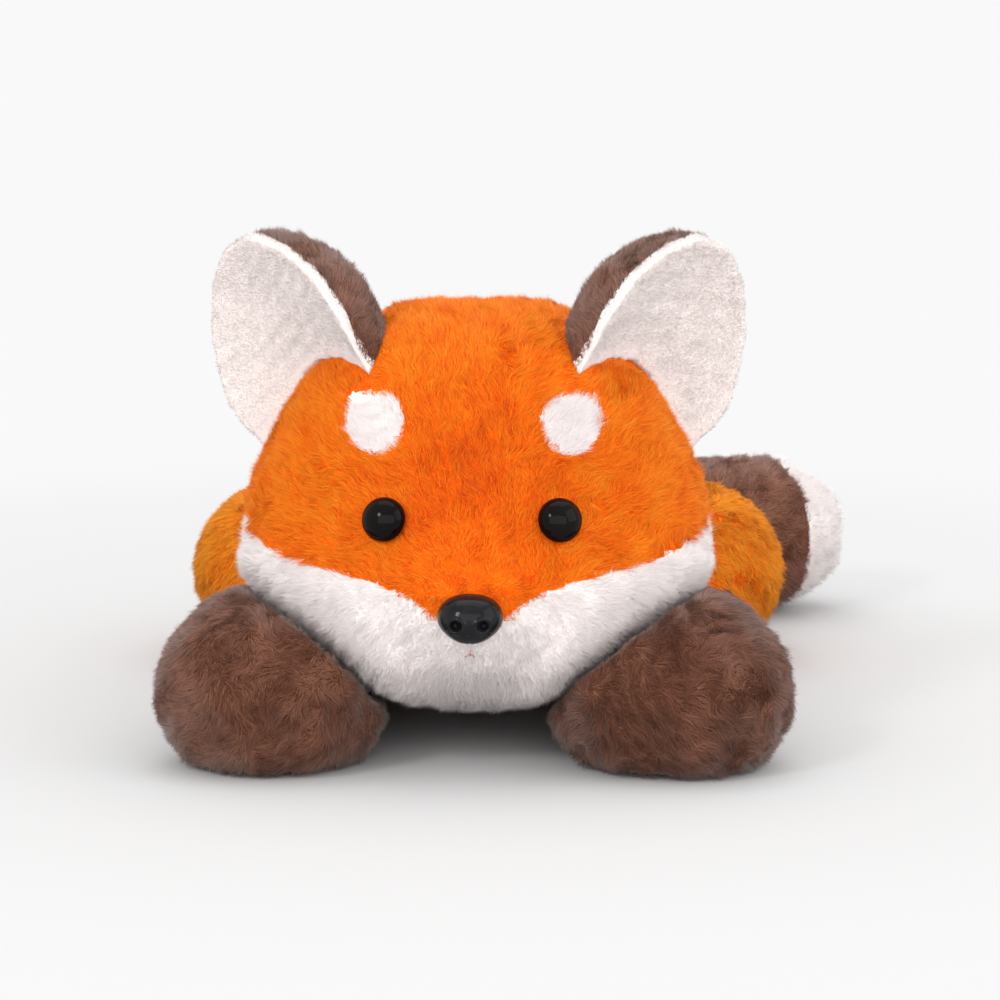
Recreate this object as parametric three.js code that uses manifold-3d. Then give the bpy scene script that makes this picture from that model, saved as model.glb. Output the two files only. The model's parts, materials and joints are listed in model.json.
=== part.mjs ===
// A plush fox that lies on its belly: sewn plush skins over stuffing, with a plastic nose and eyes.
// Millimetres, +Z up, and the fox faces -Y. The origin is on the floor, under the belly's lowest spot.
// Each stuffed form is a star of rays from its middle, out to a blend of swelling ellipsoids.
import * as THREE from 'three';
import { mergeVertices } from 'three/addons/utils/BufferGeometryUtils.js';
import Module from 'manifold-3d';

const wasm = await Module();
wasm.setup();

// Cloth, clearances and cuts
const clothWall = 3;
const restGap = 0.3;
const seatGap = 2.1;
const pressGap = 2;
const looseGap = 3.4;
const neckGroove = 6;
const flatDepth = 0.5;
// The open mouth of a limb's skin, through which it is stuffed and sewn to the body
const limbMouthRadius = 12;
const overrun = 300;
const bisections = 26;
const blendShare = 0.25;

// Body
const bodyLength = 196;
const bodyHalfWidth = 74;
const bodyHeight = 89;
const bodyBlend = 14;
const bellySeamHeight = 15;
// Each row: place along the body, half width, half length and half height.
const bodyBlobShares = [
  [-0.362, 0.7, 0.24, 0.44],
  [-0.112, 0.93, 0.38, 0.5],
  [0.078, 1, 0.3, 0.49],
];

// Head
const headHalfWidth = 76;
const headFrontDepth = 59;
const headBackDepth = 58;
const headForward = 137;
const headHeight = 78;
const headRoundness = 2.4;
const headBlend = 18;
// Radius from the head's middle at even angles, from the crown round to the chin.
const headOutlineShares = [0.875, 0.928, 0.943, 0.932, 0.997, 1.014, 0.9, 0.896, 0.875];
const muzzleHalfWidth = 43;
const muzzleHalfLength = 40;
const muzzleHalfHeight = 31;
const muzzleForward = 36;
const muzzleDrop = 25;
// How far the cheeks press forward into the front legs
const cheekPress = 25;

// Neck, the stuffed ball that the head is sewn round
const neckRadius = 34;
const neckBehindHead = 47;
const neckBelowHead = 26;
const nodUp = 6;

// White cheeks and brow spots: places across and up from the head's middle
const cheekSeamShares = [
  [0, -0.375], [0.13, -0.365], [0.22, -0.295], [0.31, -0.245], [0.43, -0.205],
  [0.56, -0.18], [0.73, -0.145], [0.89, -0.09], [1.02, -0.035], [1.3, 0.01],
];
const cheekBehindHead = 25;
const browWidth = 19;
const browHeight = 18;
const browOutShare = 0.41;
const browUpShare = 0.43;
const browCornerShares = [
  [-0.34, 0.46], [0.26, 0.48], [0.5, 0.12], [0.4, -0.28], [0.06, -0.5], [-0.36, -0.34], [-0.5, 0.12],
];

// Safety eyes and nose, with the washers that lock them behind the cloth
const eyeDiameter = 14;
const eyeDome = 5.5;
const eyeOutShare = 0.355;
const eyeUpShare = 0.039;
const noseWidth = 20;
const noseHeight = 15.5;
const noseDepth = 9;
const noseDropShare = 0.325;
const nostrilRadius = 1.7;
const nostrilApart = 7.4;
const philtrumRadius = 0.5;
// The nose's upper and lower swell: half width, rise above the middle and half height
const noseUpperShares = [1, 0.22, 0.78];
const noseLowerShares = [0.66, -0.3, 0.7];
const noseBlend = 3;
const noseInnerDepth = 2;
const stemRadius = 2.2;
const stemLength = 14;
const eyeWasherRadius = 7.5;
const noseWasherRadius = 7.5;
const washerThickness = 1.6;
const washerSink = 1.3;
const noseWasherSink = 7;
const eyeRise = 1.2;
const mouthWidth = 4;
const mouthThickness = 1.4;
const mouthDropShare = 0.47;

// Ears
const earHalfWidth = 36;
const earHeight = 62;
const earCloth = 2;
const earCup = 11;
const earBulge = 37;
const earHingeDepth = 13;
const earSetBack = 14;
const earOutShare = 0.705;
const earUpShare = 0.4;
const earFacesOut = 50;
const earLeansOut = 20;
const earLeansBack = 4;
const earBaseSlant = 18.7;
const earFold = 15;
// The rim of the right ear: across in half widths, up in heights.
const earRimShares = [
  [-0.04, 0.99], [0.42, 0.97], [0.82, 0.8], [1.06, 0.56], [1.17, 0.34], [1.15, 0.1],
  [0.92, -0.2], [0.1, -0.3], [-0.9, -0.12], [-0.95, 0.16], [-0.89, 0.44], [-0.64, 0.74],
];
const earRingShares = [0.5, 0.8, 0.94, 1];
const earMiddleShares = [0.12, 0.33];

// Front legs
const shoulderOut = 50;
const shoulderForward = 88;
const shoulderRadius = 28;
const pawOut = 64.5;
const pawForward = 177;
const pawHalfWidth = 38.5;
const pawHalfLength = 35.5;
// A paw lies flattened under its own weight: its round form goes this far below the floor.
const pawHalfHeight = 34.5;
const pawFlatDepth = 11;
const frontLegSwing = 12;
const frontLegBlend = 24;

// Hind legs, folded beside the body
const hipOut = 66;
const hipBack = 52;
const thighOut = 75;
const thighBack = 8;
const thighHalfWidth = 36;
const thighHalfLength = 48;
const thighHalfHeight = 33;
const footOut = 80;
const footForward = 34;
const footHalfWidth = 17;
const footHalfLength = 30;
const footHalfHeight = 16;
const hindLegSwing = 10;
const hindLegBlend = 8;
const ankleTilt = 40;
const ankleHeight = 24;

// Tail, curled round the right haunch
const tailRootOut = 8;
const tailRootBack = 58;
const tailLength = 129;
const tailRadius = 29;
const tailBlend = 26;
const tailSwing = 18;
// Each row: out and back from the root along the tail's length, and the radius there.
const tailShares = [
  [0, 0, 0.74], [0.21, 0.17, 0.86], [0.5, 0.24, 1], [0.76, 0.34, 0.95], [0.86, 0.39, 0.87],
];
const tailTipSeamShare = 0.95;
const tailTipTurn = 32;

// How finely each form is faceted
const headDetail = 5;
const bodyDetail = 3;
const limbDetail = 3;
const liningDetail = 1;
const headLiningDetail = 2;
const pressDetail = 3;
const looseDetail = 2;
const seatDetail = 1;
const noseDetail = 2;
const roundSides = 16;
const domeRings = 4;
const dentSides = 8;

const up = new THREE.Vector3(0, 0, 1);
const across = new THREE.Vector3(1, 0, 0);
const headMiddle = new THREE.Vector3(0, -headForward, headHeight);
const neckMiddle = new THREE.Vector3(0, neckBehindHead - headForward, headHeight - neckBelowHead);
const shoulder = new THREE.Vector3(shoulderOut, -shoulderForward, shoulderRadius);
const hip = new THREE.Vector3(hipOut, hipBack, thighHalfHeight - flatDepth);
const tailRoot = new THREE.Vector3(tailRootOut, tailRootBack, tailRadius);

// Joining and cutting of closed geometries
const mergeDistance = 1e-5;

function shared(geometry) {
  const bare = geometry.clone();
  bare.deleteAttribute('normal');
  bare.deleteAttribute('uv');
  return mergeVertices(bare, mergeDistance);
}

function toSolid(geometry) {
  const merged = shared(geometry);
  return new wasm.Manifold(new wasm.Mesh({
    numProp: 3,
    vertProperties: new Float32Array(merged.attributes.position.array),
    triVerts: new Uint32Array(merged.index.array),
  }));
}

function toGeometry(solid) {
  const mesh = solid.getMesh();
  const geometry = new THREE.BufferGeometry();
  geometry.setAttribute('position', new THREE.BufferAttribute(new Float32Array(mesh.vertProperties), 3));
  geometry.setIndex(new THREE.BufferAttribute(new Uint32Array(mesh.triVerts), 1));
  return geometry;
}

function cut(geometry, ...cutters) {
  return toGeometry(cutters.reduce((solid, cutter) => solid.subtract(toSolid(cutter)), toSolid(geometry)));
}

function join(geometry, ...others) {
  return toGeometry(others.reduce((solid, other) => solid.add(toSolid(other)), toSolid(geometry)));
}

function common(geometry, other) {
  return toGeometry(toSolid(geometry).intersect(toSolid(other)));
}

function moved(geometry, x, y, z) {
  return geometry.clone().translate(x, y, z);
}

function turned(geometry, pivot, axis, degrees) {
  const turn = new THREE.Matrix4().makeRotationAxis(axis, THREE.MathUtils.degToRad(degrees));
  return geometry.clone()
    .translate(-pivot.x, -pivot.y, -pivot.z)
    .applyMatrix4(turn)
    .translate(pivot.x, pivot.y, pivot.z);
}

function mirrored(geometry) {
  const copy = shared(geometry).scale(-1, 1, 1);
  const corners = copy.index.array;
  for (let first = 0; first < corners.length; first += 3) {
    const kept = corners[first];
    corners[first] = corners[first + 1];
    corners[first + 1] = kept;
  }
  return copy;
}

// A block with one face on the plane through a point, filling the side that the normal points to
function halfSpace(point, normal) {
  const block = new THREE.BoxGeometry(2 * overrun, 2 * overrun, 2 * overrun).translate(0, 0, overrun);
  block.applyQuaternion(new THREE.Quaternion().setFromUnitVectors(up, normal.clone().normalize()));
  return block.translate(point.x, point.y, point.z);
}

// A round post along a direction, from one distance to another along it
function post(point, direction, radius, from, to) {
  const cylinder = new THREE.CylinderGeometry(radius, radius, to - from, roundSides);
  cylinder.translate(0, (from + to) / 2, 0);
  cylinder.applyQuaternion(new THREE.Quaternion().setFromUnitVectors(new THREE.Vector3(0, 1, 0), direction));
  return cylinder.translate(point.x, point.y, point.z);
}

// Stuffed forms
function blob(x, y, z, halfWidth, halfLength, halfHeight) {
  return {
    centre: new THREE.Vector3(x, y, z),
    radii: new THREE.Vector3(halfWidth, halfLength, halfHeight),
  };
}

function blobDistance(point, { centre, radii }) {
  const scaled = point.clone().sub(centre).divide(radii);
  const reach = scaled.length();
  if (reach === 0) return -Math.min(radii.x, radii.y, radii.z);
  return reach * (reach - 1) / scaled.divide(radii).length();
}

function blended(distances, blend) {
  return distances.reduce((nearest, next) => {
    const mix = Math.max(blend - Math.abs(nearest - next), 0) / blend;
    return Math.min(nearest, next) - mix * mix * blend * blendShare;
  });
}

function surfacePoint(form, direction, grow) {
  let inside = 0;
  let outside = overrun;
  for (let step = 0; step < bisections; step += 1) {
    const middle = (inside + outside) / 2;
    const point = form.centre.clone().addScaledVector(direction, middle);
    if (form.distance(point) < grow) inside = middle;
    else outside = middle;
  }
  return form.centre.clone().addScaledVector(direction, inside);
}

function grown(form, grow, detail = form.detail) {
  const star = shared(new THREE.IcosahedronGeometry(1, detail));
  const places = star.attributes.position;
  for (let index = 0; index < places.count; index += 1) {
    const direction = new THREE.Vector3().fromBufferAttribute(places, index).normalize();
    const point = surfacePoint(form, direction, grow);
    places.setXYZ(index, point.x, point.y, point.z + form.lift);
  }
  return star;
}

// A form that lies on the floor is lifted until only its flat's depth is below the floor.
function lyingForm(centre, blobs, blend, detail, depth = flatDepth) {
  const distance = point => blended(blobs.map(one => blobDistance(point, one)), blend);
  const form = { centre, distance, detail, lift: 0 };
  const bottom = grown(form, 0);
  bottom.computeBoundingBox();
  form.lift = -depth - bottom.boundingBox.min.z;
  return form;
}

// A ball or spindle that keeps its shape as its joint turns
function seatForm(centre, halfWidth, halfHeight) {
  const one = blob(centre.x, centre.y, centre.z, halfWidth, halfWidth, halfHeight);
  return { centre, distance: point => blobDistance(point, one), detail: seatDetail, lift: 0 };
}

function below(height) {
  return halfSpace(new THREE.Vector3(0, 0, height), up.clone().negate());
}

const floorBlock = below(0);

function bodyForm() {
  const blobs = bodyBlobShares.map(([place, width, length, height]) => blob(
    0, place * bodyLength, height * bodyHeight,
    width * bodyHalfWidth, length * bodyLength, height * bodyHeight,
  ));
  return lyingForm(blobs[1].centre, blobs, bodyBlend, bodyDetail);
}

// The head's front outline is a smooth curve through its shares; its depth is a rounded square of it.
const headOutline = new THREE.SplineCurve(headOutlineShares.map(
  (share, index) => new THREE.Vector2(index / (headOutlineShares.length - 1), share),
));

function skullDistance(point, frontDepth) {
  const offset = point.clone().sub(headMiddle);
  const angle = Math.atan2(Math.abs(offset.x), offset.z) / Math.PI;
  const outline = headOutline.getPoint(angle).y * headHalfWidth;
  const depth = offset.y < 0 ? frontDepth : headBackDepth;
  const wide = (Math.hypot(offset.x, offset.z) / outline) ** headRoundness;
  const deep = (Math.abs(offset.y) / depth) ** headRoundness;
  const reach = (wide + deep) ** (1 / headRoundness);
  return reach === 0 ? -headBackDepth : offset.length() * (1 - 1 / reach);
}

function headForm(frontDepth) {
  const muzzle = blob(
    0, -headForward - muzzleForward, headHeight - muzzleDrop,
    muzzleHalfWidth, muzzleHalfLength, muzzleHalfHeight,
  );
  const distance = point => blended(
    [skullDistance(point, frontDepth), blobDistance(point, muzzle)], headBlend,
  );
  return { centre: headMiddle, distance, detail: headDetail, lift: 0 };
}

// The skin is a form's outside less its lining, and the stuffing is the lining less a gap.
const head = headForm(headFrontDepth);
const headPressed = headForm(headFrontDepth + cheekPress);
const body = bodyForm();
const neckBall = seatForm(neckMiddle, neckRadius, neckRadius);
const shoulderBall = seatForm(shoulder, shoulderRadius, shoulderRadius);
const tailBall = seatForm(tailRoot, tailRadius * tailShares[0][2], tailRadius * tailShares[0][2]);

function frontPoint(x, z) {
  const ray = { centre: new THREE.Vector3(x, -headForward, z), distance: head.distance };
  return surfacePoint(ray, new THREE.Vector3(0, -1, 0), 0);
}

function outward(point) {
  const step = restGap;
  const slope = [across, new THREE.Vector3(0, 1, 0), up].map(axis => (
    head.distance(point.clone().addScaledVector(axis, step))
    - head.distance(point.clone().addScaledVector(axis, -step))
  ));
  return new THREE.Vector3(...slope).normalize();
}

// The neighbour with its clearance, where the limb sees it after turning by some degrees
function neighbour(form, grow, pivot, axis, degrees) {
  return turned(grown(form, looseGap + grow, looseDetail), pivot, axis, -degrees);
}

// Places on the face
const eyePlace = frontPoint(eyeOutShare * headHalfWidth, headHeight + eyeUpShare * headHalfWidth);
const eyeDirection = outward(eyePlace);
const nosePlace = frontPoint(0, headHeight - noseDropShare * headHalfWidth);
const noseDirection = new THREE.Vector3(0, -1, 0);
const mouthPlace = frontPoint(0, headHeight - mouthDropShare * headHalfWidth);

function washerPocket(place, direction, radius, sink) {
  const deep = clothWall + sink + washerThickness + restGap;
  return join(
    post(place, direction, radius + restGap, -deep, -clothWall + restGap),
    post(place, direction, stemRadius + restGap, -stemLength - restGap, 0),
  );
}

function stemHole(place, direction) {
  return post(place, direction, stemRadius + restGap, -stemLength, clothWall);
}

function facePrism(points, behind) {
  const shape = new THREE.Shape(points.map(([x, z]) => new THREE.Vector2(x, z)));
  const prism = new THREE.ExtrudeGeometry(shape, { depth: overrun, bevelEnabled: false, steps: 1 });
  return prism.rotateX(Math.PI / 2).translate(0, behind, 0);
}

function cheekPrism(gap) {
  const side = cheekSeamShares.map(([x, z]) => [x * headHalfWidth, headHeight + z * headHalfWidth + gap]);
  const lowest = headHeight - overrun / 2;
  const outline = [...side.slice(1).reverse().map(([x, z]) => [-x, z]), ...side];
  const edge = side[side.length - 1][0];
  outline.push([edge, lowest], [-edge, lowest]);
  return facePrism(outline.reverse(), cheekBehindHead - headForward + gap);
}

function browPrism(gap) {
  const middle = [browOutShare * headHalfWidth, headHeight + browUpShare * headHalfWidth];
  const corners = browCornerShares.map(([x, z]) => new THREE.Vector2(
    middle[0] + x * (browWidth + 2 * gap),
    middle[1] + z * (browHeight + 2 * gap),
  ));
  const rim = new THREE.SplineCurve([...corners, corners[0]]).getPoints(2 * corners.length).slice(1);
  return facePrism(rim.map(({ x, y }) => [x, y]).reverse(), -headForward);
}

function headPieces() {
  const socket = grown(neckBall, seatGap);
  const shell = cut(grown(head, 0), grown(head, -clothWall, headLiningDetail), socket);
  const holes = [
    stemHole(eyePlace, eyeDirection),
    mirrored(stemHole(eyePlace, eyeDirection)),
    stemHole(nosePlace, noseDirection),
  ];
  const skin = cut(shell, ...holes);
  const cheeks = common(skin, cheekPrism(0));
  const rightBrow = common(skin, browPrism(0));
  const pockets = [
    washerPocket(eyePlace, eyeDirection, eyeWasherRadius, washerSink),
    mirrored(washerPocket(eyePlace, eyeDirection, eyeWasherRadius, washerSink)),
    washerPocket(nosePlace, noseDirection, noseWasherRadius, noseWasherSink),
  ];
  const middleLine = new THREE.Vector3(restGap / 2, 0, 0);
  const rightCheek = common(cheeks, halfSpace(middleLine, across));
  return {
    crown: cut(skin, cheekPrism(restGap), browPrism(restGap), mirrored(browPrism(restGap))),
    rightCheek,
    rightBrow,
    stuffing: cut(grown(head, -clothWall - restGap, headLiningDetail), socket, ...pockets),
  };
}

// A safety eye: a domed button on a stem
function eyeGeometry() {
  const radius = eyeDiameter / 2;
  const profile = [new THREE.Vector2(0, -stemLength), new THREE.Vector2(stemRadius, -stemLength)];
  profile.push(new THREE.Vector2(stemRadius, eyeRise), new THREE.Vector2(radius - restGap, eyeRise));
  for (let ring = 0; ring <= domeRings; ring += 1) {
    const angle = ring / domeRings * Math.PI / 2;
    const height = eyeRise + restGap + (eyeDome - restGap) * Math.sin(angle);
    profile.push(new THREE.Vector2(ring === domeRings ? 0 : radius * Math.cos(angle), height));
  }
  return new THREE.LatheGeometry(profile, roundSides);
}

function washerGeometry(radius, sink) {
  const bore = stemRadius + restGap;
  const top = -clothWall - sink;
  const profile = [
    [bore, top - washerThickness], [radius, top - washerThickness], [radius, top], [bore, top],
  ].map(([x, y]) => new THREE.Vector2(x, y));
  return new THREE.LatheGeometry([...profile, profile[0]], roundSides);
}

// The moulded nose: wide above and narrow below, with two nostrils and a short groove between them
function noseGeometry() {
  const halfWidth = noseWidth / 2;
  const halfHeight = noseHeight / 2;
  const swells = [noseUpperShares, noseLowerShares].map(([width, rise, height]) => blob(
    0, 0, rise * halfHeight, width * halfWidth, noseDepth, height * halfHeight,
  ));
  const distance = point => blended(swells.map(one => blobDistance(point, one)), noseBlend);
  const form = { centre: new THREE.Vector3(0, -noseInnerDepth, 0), distance, detail: noseDetail, lift: 0 };
  const nostril = new THREE.SphereGeometry(nostrilRadius, dentSides, dentSides / 2);
  const nostrilFront = surfacePoint(
    { centre: new THREE.Vector3(nostrilApart / 2, 0, 0), distance },
    new THREE.Vector3(0, -1, 0), 0,
  );
  const rightNostril = moved(nostril, nostrilFront.x, nostrilFront.y, nostrilFront.z);
  const leftNostril = moved(nostril, -nostrilFront.x, nostrilFront.y, nostrilFront.z);
  const groove = post(
    new THREE.Vector3(0, -noseDepth, -halfHeight), up, philtrumRadius, -halfHeight, halfHeight,
  );
  const front = cut(
    grown(form, 0),
    halfSpace(new THREE.Vector3(0, -restGap, 0), new THREE.Vector3(0, 1, 0)),
    rightNostril, leftNostril, groove,
  );
  const stem = post(
    new THREE.Vector3(0, 0, 0), new THREE.Vector3(0, 1, 0), stemRadius, -noseInnerDepth, stemLength,
  );
  return join(front, stem);
}

// The ear's two cloth panels are plates on a polar grid inside the rim, cupped to the back.
const earRim = new THREE.CatmullRomCurve3(
  earRimShares.map(([x, y]) => new THREE.Vector3(x * earHalfWidth, y * earHeight, 0)), true,
);

function earPlate(topAt, bottomAt, rings = earRingShares) {
  const rim = earRim.getSpacedPoints(roundSides).slice(0, roundSides);
  const middle = new THREE.Vector3(earMiddleShares[0] * earHalfWidth, earMiddleShares[1] * earHeight, 0);
  const points = [];
  const corners = [];
  for (const depthAt of [topAt, bottomAt]) {
    points.push(middle.x, middle.y, depthAt(0));
    for (const ring of rings) {
      for (const edge of rim) {
        const place = middle.clone().lerp(edge, ring);
        points.push(place.x, place.y, depthAt(ring));
      }
    }
  }
  const ringCount = rings.length;
  const side = 1 + ringCount * roundSides;
  const at = (layer, ring, turn) => layer * side + 1 + ring * roundSides + turn % roundSides;
  for (let turn = 0; turn < roundSides; turn += 1) {
    corners.push(0, at(0, 0, turn + 1), at(0, 0, turn));
    corners.push(side, at(1, 0, turn), at(1, 0, turn + 1));
    for (let ring = 0; ring < ringCount - 1; ring += 1) {
      corners.push(at(0, ring, turn), at(0, ring, turn + 1), at(0, ring + 1, turn));
      corners.push(at(0, ring + 1, turn), at(0, ring, turn + 1), at(0, ring + 1, turn + 1));
      corners.push(at(1, ring, turn), at(1, ring + 1, turn), at(1, ring, turn + 1));
      corners.push(at(1, ring + 1, turn), at(1, ring + 1, turn + 1), at(1, ring, turn + 1));
    }
    corners.push(at(0, ringCount - 1, turn), at(0, ringCount - 1, turn + 1), at(1, ringCount - 1, turn));
    corners.push(at(1, ringCount - 1, turn), at(0, ringCount - 1, turn + 1), at(1, ringCount - 1, turn + 1));
  }
  const geometry = new THREE.BufferGeometry();
  geometry.setAttribute('position', new THREE.Float32BufferAttribute(points, 3));
  geometry.setIndex(corners);
  return geometry;
}

// The right ear's frame: its third axis faces out of the cup, its second runs up to the tip.
const earPlace = frontPoint(earOutShare * headHalfWidth, headHeight + earUpShare * headHalfWidth);
earPlace.y += earSetBack;
const earUpward = up.clone()
  .applyAxisAngle(across, -THREE.MathUtils.degToRad(earLeansBack))
  .applyAxisAngle(new THREE.Vector3(0, 1, 0), THREE.MathUtils.degToRad(earLeansOut));
const earFacing = new THREE.Vector3(0, -1, 0).applyAxisAngle(up, THREE.MathUtils.degToRad(earFacesOut));
earFacing.addScaledVector(earUpward, -earFacing.dot(earUpward)).normalize();
const earAcross = new THREE.Vector3().crossVectors(earUpward, earFacing);
const earHinge = earPlace.clone().addScaledVector(earFacing, -earHingeDepth);
const earAxis = earAcross.clone().applyAxisAngle(earFacing, -THREE.MathUtils.degToRad(earBaseSlant));

function earPieces() {
  const frame = new THREE.Matrix4().makeBasis(earAcross, earUpward, earFacing).setPosition(earPlace);
  const dish = ring => 1 - ring * ring;
  const front = earPlate(
    ring => -earCup * dish(ring),
    ring => -earCup * dish(ring) - earCloth,
  );
  const lining = ring => -earCloth - restGap - (earBulge - 2 * earCloth) * Math.sqrt(dish(ring));
  const back = earPlate(lining, ring => lining(ring) - earCloth);
  const stuffing = earPlate(
    ring => -earCup * dish(ring) - earCloth - restGap,
    ring => lining(ring) + restGap,
    earRingShares.slice(0, -1),
  );
  const folds = [0, -earFold, earFold].map(
    angle => turned(grown(head, pressGap, pressDetail), earHinge, earAxis, angle),
  );
  return {
    front: cut(front.applyMatrix4(frame), ...folds),
    back: cut(back.applyMatrix4(frame), ...folds),
    stuffing: cut(stuffing.applyMatrix4(frame), ...folds),
  };
}

// The front leg's root is a ball in the body's side; its paw is pressed by the cheek.
function frontLegForm() {
  const middleX = (shoulderOut + pawOut) / 2;
  const middleY = -(shoulderForward + pawForward) / 2;
  const armHeight = shoulderRadius + pawFlatDepth;
  const blobs = [
    blob(shoulderOut, -shoulderForward, armHeight, shoulderRadius, shoulderRadius, shoulderRadius),
    blob(
      middleX, middleY, armHeight, shoulderRadius, (pawForward - shoulderForward) / 2, shoulderRadius,
    ),
    blob(pawOut, -pawForward, pawHalfHeight, pawHalfWidth, pawHalfLength, pawHalfHeight),
  ];
  const middle = new THREE.Vector3(middleX, middleY, armHeight);
  return lyingForm(middle, blobs, frontLegBlend, limbDetail, pawFlatDepth);
}

function frontLegPieces() {
  const form = frontLegForm();
  const bodyCut = neighbour(body, 0, shoulder, up, 0);
  const headCut = grow => [
    grown(headPressed, pressGap + grow, pressDetail),
    neighbour(head, grow, shoulder, up, frontLegSwing),
  ];
  const outside = cut(join(cut(grown(form, 0), bodyCut), grown(shoulderBall, 0)), ...headCut(0), floorBlock);
  const inset = -clothWall - restGap;
  const lining = join(grown(form, -clothWall, liningDetail), grown(shoulderBall, -clothWall));
  const filled = join(cut(grown(form, inset, liningDetail), bodyCut), grown(shoulderBall, inset));
  const mouth = post(shoulder, new THREE.Vector3(-1, 0, 0), limbMouthRadius, 0, shoulderRadius * 2);
  return {
    skin: cut(outside, cut(lining, ...headCut(clothWall), below(clothWall)), mouth),
    stuffing: cut(filled, ...headCut(clothWall + restGap), below(clothWall + restGap)),
  };
}

function hindLegForm() {
  const blobs = [
    blob(thighOut, thighBack, thighHalfHeight, thighHalfWidth, thighHalfLength, thighHalfHeight),
    blob(footOut, -footForward, footHalfHeight, footHalfWidth, footHalfLength, footHalfHeight),
  ];
  const middle = new THREE.Vector3(
    (thighOut + footOut) / 2, (thighBack - footForward) / 2, (thighHalfHeight + footHalfHeight) / 2,
  );
  return lyingForm(middle, blobs, hindLegBlend, limbDetail);
}

const hindForm = hindLegForm();

function hindLegPieces() {
  const bodyCut = grown(body, pressGap);
  const skin = cut(grown(hindForm, 0), bodyCut, grown(hindForm, -clothWall, liningDetail), floorBlock);
  const ankle = new THREE.Vector3(0, -footForward, ankleHeight);
  const toFoot = new THREE.Vector3(0, -1, 0).applyAxisAngle(across, THREE.MathUtils.degToRad(ankleTilt));
  return {
    thigh: cut(skin, halfSpace(ankle.clone().addScaledVector(toFoot, -restGap), toFoot)),
    foot: common(skin, halfSpace(ankle, toFoot)),
    stuffing: cut(grown(hindForm, -clothWall - restGap, liningDetail), bodyCut),
  };
}

function tailPieces() {
  const blobs = tailShares.map(([out, back, radius]) => blob(
    tailRootOut + out * tailLength, tailRootBack + back * tailLength, radius * tailRadius,
    radius * tailRadius, radius * tailRadius, radius * tailRadius,
  ));
  const middle = blobs[1].centre.clone().lerp(blobs[2].centre, 0.5);
  const form = lyingForm(middle, blobs, tailBlend, limbDetail);
  const bodyCut = join(neighbour(body, 0, tailRoot, up, 0), neighbour(body, 0, tailRoot, up, tailSwing));
  const haunchCut = grow => [0, -hindLegSwing].map(angle => neighbour(hindForm, grow, hip, up, angle));
  const inset = -clothWall - restGap;
  const outside = cut(join(cut(grown(form, 0), bodyCut), grown(tailBall, 0)), ...haunchCut(0), floorBlock);
  const lining = join(grown(form, -clothWall, liningDetail), grown(tailBall, -clothWall));
  const filled = join(cut(grown(form, inset, liningDetail), bodyCut), grown(tailBall, inset));
  const mouth = post(tailRoot, new THREE.Vector3(0, -1, 0), limbMouthRadius, 0, tailRadius);
  const skin = cut(outside, cut(lining, ...haunchCut(clothWall)), mouth);
  const toTip = across.clone().applyAxisAngle(up, THREE.MathUtils.degToRad(tailTipTurn));
  const seam = blobs[0].centre.clone().lerp(blobs[blobs.length - 1].centre, tailTipSeamShare);
  return {
    band: cut(skin, halfSpace(seam.clone().addScaledVector(toTip, -restGap), toTip)),
    tip: common(skin, halfSpace(seam, toTip)),
    stuffing: cut(filled, ...haunchCut(clothWall + restGap)),
  };
}

function bodyPieces() {
  const headCut = grow => join(
    grown(head, neckGroove + grow, looseDetail),
    neighbour(head, grow, neckMiddle, across, nodUp),
  );
  const seats = [
    grown(shoulderBall, seatGap), mirrored(grown(shoulderBall, seatGap)),
    grown(tailBall, seatGap),
  ];
  const lining = (grow, gap) => join(
    cut(grown(body, grow, liningDetail), headCut(clothWall + gap)),
    grown(neckBall, grow),
  );
  const outside = cut(join(cut(grown(body, 0), headCut(0)), grown(neckBall, 0)), ...seats, floorBlock);
  const skin = cut(outside, lining(-clothWall, 0));
  const seam = new THREE.Vector3(0, 0, bellySeamHeight);
  return {
    back: common(skin, halfSpace(seam.clone().addScaledVector(up, restGap), up)),
    belly: cut(skin, halfSpace(seam, up)),
    stuffing: cut(lining(-clothWall - restGap, restGap), ...seats),
  };
}

// Materials
const orangePlush = new THREE.MeshStandardMaterial({ color: 0xf57a14, roughness: 1, metalness: 0 });
const brownPlush = new THREE.MeshStandardMaterial({ color: 0x70463a, roughness: 1, metalness: 0 });
const whitePlush = new THREE.MeshStandardMaterial({ color: 0xf3ebe9, roughness: 1, metalness: 0 });
const stuffingFibre = new THREE.MeshStandardMaterial({ color: 0xf4f2ec, roughness: 1, metalness: 0 });
const blackPlastic = new THREE.MeshStandardMaterial({ color: 0x0b0a0b, roughness: 0.12, metalness: 0 });
const washerPlastic = new THREE.MeshStandardMaterial({ color: 0xe8e6df, roughness: 0.5, metalness: 0 });
const mouthThread = new THREE.MeshStandardMaterial({ color: 0xb98d84, roughness: 0.9, metalness: 0 });

const fox = new THREE.Group();

function moving(name) {
  const group = new THREE.Group();
  group.name = name;
  fox.add(group);
  return group;
}

function piece(group, name, geometry, material) {
  const mesh = new THREE.Mesh(geometry, material);
  mesh.name = name;
  group.add(mesh);
  return mesh;
}

function pair(groups, name, geometry, material) {
  piece(groups[0], `${name}_left`, mirrored(geometry), material);
  piece(groups[1], `${name}_right`, geometry, material);
}

function fixing(group, name, geometry, material, place, direction) {
  const mesh = piece(group, name, geometry, material);
  mesh.position.copy(place);
  mesh.quaternion.setFromUnitVectors(new THREE.Vector3(0, 1, 0), direction);
  return mesh;
}

function acrossMiddle(vector) {
  return new THREE.Vector3(-vector.x, vector.y, vector.z);
}

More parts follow.
